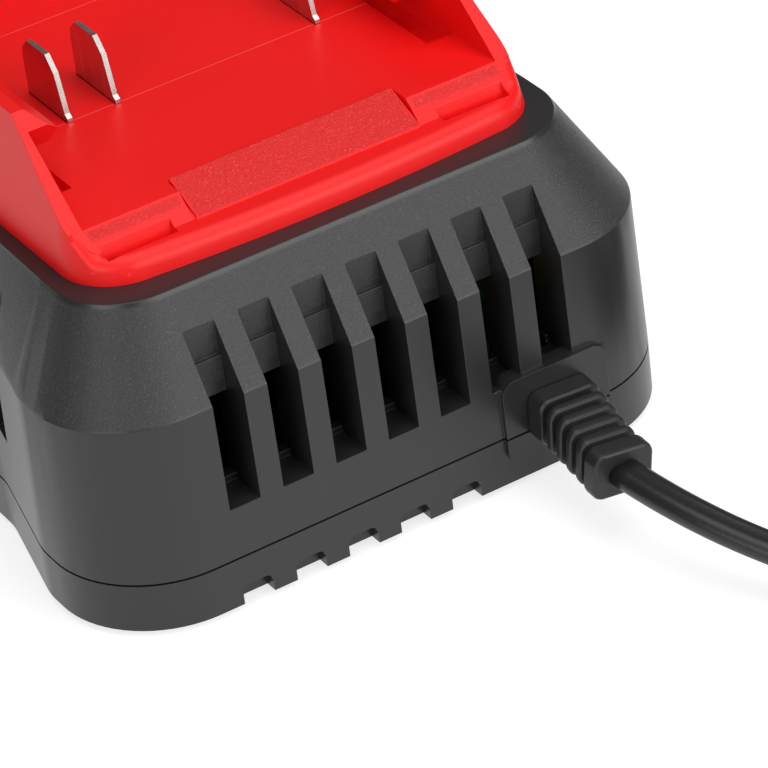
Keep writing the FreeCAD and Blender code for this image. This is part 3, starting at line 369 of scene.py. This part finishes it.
MATERIALS = {
    "casing_black": casing_material(),
    "cradle_red": cradle_material(),
    "relief_black": moulded("relief_rubber", (0.014, 0.013, 0.0145), 0.44, 2600.0, 0.15),
    "insulator_black": moulded("insulator_plastic", (0.02, 0.02, 0.02), 0.5, 2400.0, 0.3),
    "terminal_steel": metal("terminal_steel", (0.62, 0.59, 0.56), 0.24),
    "board_green": moulded("board_mask", (0.02, 0.14, 0.05), 0.35, 900.0, 0.2),
    "insulator_sheet": moulded("insulator_card", (0.62, 0.58, 0.46), 0.6, 1200.0, 0.3),
    "ferrite": moulded("ferrite", (0.03, 0.03, 0.033), 0.55, 1800.0, 0.5),
    "copper_winding": metal("enamelled_copper", (0.75, 0.38, 0.16), 0.3, (60.0, 60.0, 2600.0), 0.5),
    "capacitor_can": moulded("can_sleeve", (0.03, 0.03, 0.08), 0.3, 800.0, 0.1),
    "filter_yellow": moulded("filter_case", (0.62, 0.42, 0.04), 0.45, 1500.0, 0.2),
    "varistor_blue": moulded("varistor_resin", (0.02, 0.08, 0.35), 0.35, 900.0, 0.3),
    "chip_black": moulded("chip_resin", (0.018, 0.018, 0.018), 0.55, 3000.0, 0.4),
    "heat_sink_metal": metal("heat_sink_metal", (0.78, 0.78, 0.8), 0.35, (60.0, 900.0, 900.0)),
    "fuse_glass": moulded("fuse_tube", (0.75, 0.78, 0.78), 0.1, 500.0, 0.0),
    "led_red": moulded("lamp_red", (0.6, 0.02, 0.015), 0.2, 500.0, 0.05),
    "led_green": moulded("lamp_green", (0.03, 0.42, 0.05), 0.2, 500.0, 0.05),
    "light_pipe_clear": moulded("light_pipe", (0.72, 0.74, 0.74), 0.28, 900.0, 0.1),
    "lead_insulation": moulded("lead_sheath", (0.02, 0.02, 0.02), 0.4, 2000.0, 0.1),
    "screw_steel": metal("screw_zinc", (0.66, 0.66, 0.68), 0.3),
    "foot_rubber": moulded("foot_rubber", (0.016, 0.016, 0.016), 0.75, 2600.0, 0.5),
    "cord_black": moulded("cord_sheath", (0.012, 0.012, 0.0125), 0.36, 2200.0, 0.12),
    "tie_black": moulded("tie_weave", (0.02, 0.02, 0.02), 0.85, 1400.0, 1.0),
    "plug_black": moulded("plug_plastic", (0.016, 0.0155, 0.0165), 0.42, 2600.0, 0.2),
    "pin_nickel": metal("pin_nickel", (0.74, 0.71, 0.66), 0.2),
}
SLOT_OF = {entry["node"]: entry["material_slot"] for entry in frame["record"]["subparts"]}

for node_name, node in frame["nodes"].items():
    node.data.materials.clear()
    node.data.materials.append(MATERIALS[SLOT_OF[node_name]])


# Shared modelling

def settle(piece, slot, *nodes):
    """Gives a finished piece its material and body, and hides the CAD nodes that it stands for."""
    piece.data.materials.clear()
    piece.data.materials.append(MATERIALS[slot])
    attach(piece, "root")
    if nodes:
        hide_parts(*nodes)
    return piece


def mesh_piece(name, mesh):
    piece = bpy.data.objects.new(name, mesh)
    bpy.context.scene.collection.objects.link(piece)
    return piece


def finish_modifiers(piece):
    bpy.ops.object.select_all(action="DESELECT")
    bpy.context.view_layer.objects.active = piece
    piece.select_set(True)
    for modifier in list(piece.modifiers):
        bpy.ops.object.modifier_apply(modifier=modifier.name)


def smooth_shading(piece):
    """Smooth normals that keep big flat faces flat."""
    bpy.ops.object.select_all(action="DESELECT")
    bpy.context.view_layer.objects.active = piece
    piece.select_set(True)
    bpy.ops.object.shade_smooth_by_angle(angle=math.radians(SMOOTH_BELOW))
    even = piece.modifiers.new("even_normals", "WEIGHTED_NORMAL")
    even.mode = "FACE_AREA"
    even.weight = 60
    even.keep_sharp = True
    finish_modifiers(piece)


def bevel_edges(piece, width, segments, limit):
    bevel = piece.modifiers.new("edges", "BEVEL")
    bevel.width = width * MM
    bevel.segments = segments
    bevel.limit_method = limit
    bevel.use_clamp_overlap = True
    bevel.miter_outer = "MITER_ARC"
    return bevel


def merged_copy(name, node):
    """A welded copy of a CAD node with its flat faces whole again."""
    source = frame["nodes"][node]
    mesh = source.data.copy()
    piece = mesh_piece(name, mesh)
    shape = bmesh.new()
    shape.from_mesh(mesh)
    weld = 0.004 * MM
    bmesh.ops.remove_doubles(shape, verts=shape.verts, dist=weld)
    bmesh.ops.dissolve_degenerate(shape, edges=shape.edges, dist=weld)
    bmesh.ops.dissolve_limit(shape, angle_limit=math.radians(0.8), verts=shape.verts, edges=shape.edges)
    shape.to_mesh(mesh)
    shape.free()
    return piece


# Cord

def spline_points(points, name):
    """Points in metres along the NURBS line of a route given in millimetres."""
    data = bpy.data.curves.new(name, "CURVE")
    data.dimensions = "3D"
    data.resolution_u = 8
    spline = data.splines.new("NURBS")
    spline.points.add(len(points) - 1)
    for place, point in zip(spline.points, points):
        place.co = (point[0] * MM, point[1] * MM, point[2] * MM, 1.0)
    spline.order_u = 3
    spline.use_endpoint_u = True
    line = bpy.data.objects.new(name, data)
    bpy.context.scene.collection.objects.link(line)
    bpy.context.view_layer.update()
    mesh = bpy.data.meshes.new_from_object(line)
    found = [vertex.co.copy() for vertex in mesh.vertices]
    bpy.data.meshes.remove(mesh)
    bpy.data.objects.remove(line)
    bpy.data.curves.remove(data)
    return found


def coil_point(turn):
    """The put-away coil: a spiral in, a climb of one layer and a spiral out."""
    middle = COIL_TURNS * 2 * math.pi / 2
    pitch = COIL_PITCH / (2 * math.pi)
    radius = COIL_RADIUS - pitch * middle / 2 + pitch * abs(turn - middle)
    if abs(turn - middle) < math.pi:
        radius -= COIL_TUCK * math.cos((turn - middle) / 2) ** 2
    climb = min(max((turn - middle) / math.pi + 0.5, 0), 1)
    height = COIL_LIFT + CORD_THICK / 2 + COIL_CLIMB * (3 - 2 * climb) * climb * climb
    angle = turn - math.pi / 2
    return COIL_MIDDLE + Vector((radius * math.cos(angle), radius * math.sin(angle), height))


def cord_route():
    """From the strain relief to the coil, round it, and on to the plug."""
    total = COIL_TURNS * 2 * math.pi
    first_way = (coil_point(0.001) - coil_point(0)).normalized()
    last_way = (coil_point(total) - coil_point(total - 0.001)).normalized()
    first = coil_point(0) - first_way * CORD_WIDE
    last = coil_point(total) + last_way * CORD_WIDE
    route = [RELIEF_TIP + Vector(step) for step in LEAD_STEPS]
    route += [first - first_way * LEAD_RUN_IN, first]
    steps = int(COIL_TURNS * COIL_POINTS)
    route += [coil_point(total * index / steps) for index in range(steps + 1)]
    turn = math.radians(PLUG_HEADING)
    heading = Vector((math.cos(turn), math.sin(turn), 0))
    before_plug = PLUG_ENTRY - heading * PLUG_RUN_IN + Vector((0, 0, -PLUG_RUN_LOW))
    return route + [last, before_plug, PLUG_ENTRY]


def cord_outline():
    """The flat cord's outline: two cores with a shallow groove between them."""
    flat = (CORD_WIDE - CORD_THICK) / 2
    radius = CORD_THICK / 2
    right = []
    for index in range(9):
        angle = math.radians(90 - 180 * index / 8)
        right.append((flat + radius * math.cos(angle), radius * math.sin(angle)))
    top = [(0.0, radius - GROOVE_DEEP), (0.7, radius - 0.04)]
    bottom = [(0.7, -radius + 0.04), (0.0, -radius + GROOVE_DEEP)]
    outline = top + right + bottom
    outline += [(-x, y) for x, y in reversed(outline[1:-1])]
    return outline


def close_tube(shape, rings):
    """Faces between neighbouring rings, and a lid on each end."""
    count = len(rings[0])
    for before, after in zip(rings, rings[1:]):
        for index in range(count):
            other = (index + 1) % count
            shape.faces.new((before[index], before[other], after[other], after[index]))
    shape.faces.new(rings[0])
    shape.faces.new(list(reversed(rings[-1])))


def skin(shape, name):
    bmesh.ops.recalc_face_normals(shape, faces=shape.faces)
    mesh = bpy.data.meshes.new(name)
    shape.to_mesh(mesh)
    shape.free()
    return mesh_piece(name, mesh)


def sweep(name, line, outline, up=Vector((0, 0, 1))):
    """A closed skin that carries an outline along a line, with its up side kept up."""
    shape = bmesh.new()
    rings = []
    count = len(line)
    for index, point in enumerate(line):
        way = (line[min(index + 1, count - 1)] - line[max(index - 1, 0)]).normalized()
        right = way.cross(up).normalized()
        above = right.cross(way).normalized()
        rings.append([shape.verts.new(point + (right * a + above * b) * MM) for a, b in outline])
    close_tube(shape, rings)
    piece = skin(shape, name)
    for polygon in piece.data.polygons:
        polygon.use_smooth = len(polygon.vertices) == 4
    return piece


def make_cord():
    line = spline_points(cord_route(), "cord_route")
    cord = sweep("mains_flex", line, cord_outline())
    settle(cord, "cord_black", "mains_cord", "cord_coil", "cord_tail")


make_cord()


# Casing, cradle and strain relief

def make_casing():
    for name, node, width in (("casing_top", "upper_housing", HOUSING_ROUND),
                              ("casing_bottom", "bottom_tray", TRAY_ROUND)):
        half = merged_copy(name, node)
        bevel = bevel_edges(half, width, 2, "ANGLE")
        bevel.angle_limit = math.radians(CASING_CORNER_FROM)
        finish_modifiers(half)
        smooth_shading(half)
        settle(half, "casing_black", node)


def rim_radius(height):
    """How far the outer rim is rounded: most along the lip, less up the ramps."""
    share = min(max((height / MM - LIP_TOP) / LIP_BLEND, 0), 1)
    return (RIM_ROUND + (RAIL_ROUND - RIM_ROUND) * share) * MM


def rim_edges(shape):
    """The rim's edges, with a wall outside and a crest above, and the normals of both faces."""
    found = []
    for edge in shape.edges:
        if len(edge.link_faces) != 2 or edge.calc_face_angle(0.0) < math.radians(RIM_CORNER_FROM):
            continue
        middle = (edge.verts[0].co + edge.verts[1].co) / 2 / MM
        side = [face for face in edge.link_faces if abs(face.normal.z) < 0.35]
        crest = [face for face in edge.link_faces if face.normal.z > 0.5]
        if len(side) != 1 or len(crest) != 1:
            continue
        corner = middle.y < RIM_CORNER and side[0].normal.y < -0.3
        outer = abs(middle.x) > RIM_SIDE or middle.y < RIM_FRONT or corner
        if outer and RIM_LOW < middle.z < RIM_HIGH:
            found.append((edge, crest[0].normal.copy(), side[0].normal.copy()))
    return found


def rim_chain(shape):
    """The longest run of rim edges as points, each with its crest normal and its wall normal."""
    at = {}
    for edge, crest, side in rim_edges(shape):
        for vertex in edge.verts:
            at.setdefault(vertex.index, []).append((edge.other_vert(vertex), crest, side))
    ends = sorted((i for i in at if len(at[i]) == 1), key=lambda i: tuple(shape.verts[i].co))
    best = []
    for start in ends:
        walk, last, here = [], None, start
        while here is not None:
            walk.append(here)
            onward = [vertex.index for vertex, crest, side in at[here]
                      if vertex.index != last and vertex.index not in walk]
            last, here = here, (onward[0] if onward else None)
        if len(walk) > len(best):
            best = walk
    chain = []
    for index in best:
        crest = sum((item[1] for item in at[index]), Vector()).normalized()
        side = sum((item[2] for item in at[index]), Vector()).normalized()
        chain.append((shape.verts[index].co.copy(), crest, side))
    return chain


def rim_cutter(chain):
    """What the rounding takes away: a solid outside the arc, carried along the rim."""
    shape = bmesh.new()
    rings = []
    for place, crest, side in chain:
        radius = rim_radius(place.z)
        centre = place - (crest + side) * radius / (1 + crest.dot(side))
        ring = [centre + crest * (radius + CUTTER_OVER * MM)]
        for step in range(CUTTER_STEPS + 1):
            angle = step / CUTTER_STEPS * math.pi / 2
            ring.append(centre + (crest * math.cos(angle) + side * math.sin(angle)).normalized() * radius)
        ring.append(centre + side * (radius + CUTTER_OVER * MM))
        ring.append(place + (crest + side) * CUTTER_CORNER * MM)
        rings.append([shape.verts.new(point) for point in ring])
    close_tube(shape, rings)
    return skin(shape, "rim_cutter")


def weigh_corners(mesh, shape):
    """Bevel weights: a small round on every corner but the rim's and the blade slots'."""
    rim = {edge.index for edge, crest, side in rim_edges(shape)}
    found = []
    for edge in shape.edges:
        turn = edge.calc_face_angle(0.0) if len(edge.link_faces) == 2 else 0.0
        middle = (edge.verts[0].co + edge.verts[1].co) / 2 / MM
        by_slot = (abs(middle.y - SLOT_MIDDLE) < SLOT_REACH and abs(middle.x) < SLOT_SIDE
                   and middle.z < SLOT_TOP)
        sharp = turn >= math.radians(CORNER_FROM) and middle.z >= LEFT_SHARP_BELOW
        found.append(1.0 if sharp and not by_slot and edge.index not in rim else 0.0)
    weights = mesh.attributes.new("bevel_weight_edge", "FLOAT", "EDGE")
    weights.data.foreach_set("value", found)


def make_cradle():
    cradle = merged_copy("cradle", "battery_cradle")
    shape = bmesh.new()
    shape.from_mesh(cradle.data)
    shape.verts.ensure_lookup_table()
    cutter = rim_cutter(rim_chain(shape))
    weigh_corners(cradle.data, shape)
    shape.free()
    bevel_edges(cradle, EDGE_ROUND, 3, "WEIGHT")
    cut = cradle.modifiers.new("rim", "BOOLEAN")
    cut.operation = "DIFFERENCE"
    cut.solver = "EXACT"
    cut.object = cutter
    finish_modifiers(cradle)
    bpy.data.objects.remove(cutter)
    smooth_shading(cradle)
    settle(cradle, "cradle_red", "battery_cradle")


def relief_stations():
    """Along the strain relief from its plate: distance, width, height and corner radius of each section."""
    wide, tall = 10.6, 7.8
    core = (8.2, 5.6, 1.6)
    end = RELIEF_LONG
    stations = [(0.2, wide, tall, 1.7), (3.4, wide, tall, 1.7), (3.8, wide - 0.5, tall - 0.5, 1.7)]
    place = 3.8
    for rib in range(RIB_COUNT):
        shrink = 0.2 * rib
        w, t = wide - 0.1 - shrink, tall - 0.1 - 0.4 * shrink
        stations += [(place + 0.05, *core), (place + 1.15, *core), (place + 1.2, w - 0.6, t - 0.6, 1.6)]
        stations += [(place + 1.5, w - 0.1, t - 0.1, 1.8), (place + 1.75, w, t, 1.8)]
        stations += [(place + 2.35, w, t, 1.8), (place + 2.6, w - 0.1, t - 0.1, 1.8)]
        stations += [(place + 2.85, w - 0.6, t - 0.6, 1.6)]
        place += RIB_PITCH
    stations += [(place + 0.05, *core), (place + 1.2, *core), (place + 1.25, wide - 0.9, tall - 0.9, 1.6)]
    stations += [(place + 1.5, wide - 0.4, tall - 0.4, 1.8), (place + 1.8, wide - 0.3, tall - 0.3, 1.8)]
    stations += [(end - 0.6, wide - 0.3, tall - 0.3, 1.8), (end - 0.2, wide - 0.6, tall - 0.6, 1.7)]
    stations += [(end, wide - 1.2, tall - 1.2, 1.5)]
    return stations


def rounded_section(wide, tall, radius, corner=6):
    """Points round a rounded rectangle, from its top left corner onwards."""
    points = []
    for quarter, (sx, sy) in enumerate(((1, 1), (-1, 1), (-1, -1), (1, -1))):
        for step in range(corner + 1):
            angle = math.pi / 2 * (quarter + step / corner)
            points.append((sx * (wide / 2 - radius) + radius * math.cos(angle),
                           sy * (tall / 2 - radius) + radius * math.sin(angle)))
    return points


def make_strain_relief():
    """The ribbed relief, a little turned and drawn to one side by its cord."""
    shape = bmesh.new()
    rings = []
    for along, wide, tall, radius in relief_stations():
        share = along / RELIEF_LONG
        ease = share * share * (3 - 2 * share)
        lean = RELIEF_TIP - RELIEF_ROOT
        centre = RELIEF_ROOT + Vector((lean.x * ease, lean.y * share, lean.z * ease))
        roll = math.radians(RELIEF_ROLL) * (ROOT_ROLL_SHARE + (1 - ROOT_ROLL_SHARE) * share)
        ring = []
        for a, b in rounded_section(wide, tall, radius):
            x = a * math.cos(roll) + b * math.sin(roll)
            z = b * math.cos(roll) - a * math.sin(roll)
            ring.append(shape.verts.new((centre + Vector((x, 0, z))) * MM))
        rings.append(ring)
    close_tube(shape, rings)
    relief = skin(shape, "strain_relief_ribbed")
    smooth_shading(relief)
    settle(relief, "relief_black", "strain_relief")


make_casing()
make_cradle()
make_strain_relief()


# Stage and light

def make_floor():
    """A floor that looks white, also in reflections, and lights the object like plain paper."""
    bpy.ops.object.select_all(action="DESELECT")
    bpy.ops.mesh.primitive_plane_add(size=12.0, location=(0, 0, 0))
    floor = bpy.context.object
    floor.name = "floor"
    material, tree, paper = new_material("floor_white")
    paper.inputs["Base Color"].default_value = (0.8, 0.8, 0.8, 1)
    paper.inputs["Roughness"].default_value = 1.0
    paper.inputs["Specular IOR Level"].default_value = 0.0
    path = put(tree, "ShaderNodeLightPath")
    seen = combine(tree, "MAXIMUM", path.outputs["Is Camera Ray"], path.outputs["Is Glossy Ray"])
    seen = combine(tree, "MAXIMUM", seen, path.outputs["Is Transmission Ray"])
    glow = put(tree, "ShaderNodeEmission", Strength=0.72)
    soft = put(tree, "ShaderNodeBsdfDiffuse")
    soft.inputs["Color"].default_value = (0.42, 0.42, 0.42, 1)
    white = tree.nodes.new("ShaderNodeAddShader")
    tree.links.new(glow.outputs[0], white.inputs[0])
    tree.links.new(soft.outputs[0], white.inputs[1])
    mix = tree.nodes.new("ShaderNodeMixShader")
    tree.links.new(seen, mix.inputs[0])
    tree.links.new(paper.outputs[0], mix.inputs[1])
    tree.links.new(white.outputs[0], mix.inputs[2])
    tree.links.new(mix.outputs[0], tree.nodes["Material Output"].inputs["Surface"])
    floor.data.materials.append(material)


def make_world():
    """A plain grey studio, so that black surfaces turned from the lamps stay dark."""
    world = bpy.data.worlds.new("studio")
    bpy.context.scene.world = world
    world.use_nodes = True
    world.node_tree.nodes["Background"].inputs["Color"].default_value = (0.15, 0.15, 0.15, 1)


def softbox(name, place, target, width, height, power):
    data = bpy.data.lights.new(name, "AREA")
    data.shape = "RECTANGLE"
    data.size = width
    data.size_y = height
    data.energy = power
    lamp = bpy.data.objects.new(name, data)
    bpy.context.scene.collection.objects.link(lamp)
    lamp.location = place
    aim = (Vector(target) - Vector(place)).to_track_quat("-Z", "Y")
    lamp.rotation_euler = aim.to_euler()


make_floor()
make_world()
softbox("top_box", (0.20, -0.15, 1.25), (0, 0, 0.03), 1.3, 1.3, 11.0)
softbox("front_box", (0.45, -1.15, 0.55), (0, -0.05, 0.03), 1.2, 0.8, 11.0)
softbox("left_box", (-0.95, -0.55, 0.60), (0, -0.05, 0.03), 0.7, 0.7, 5.0)
bpy.context.scene.view_settings.view_transform = "Standard"
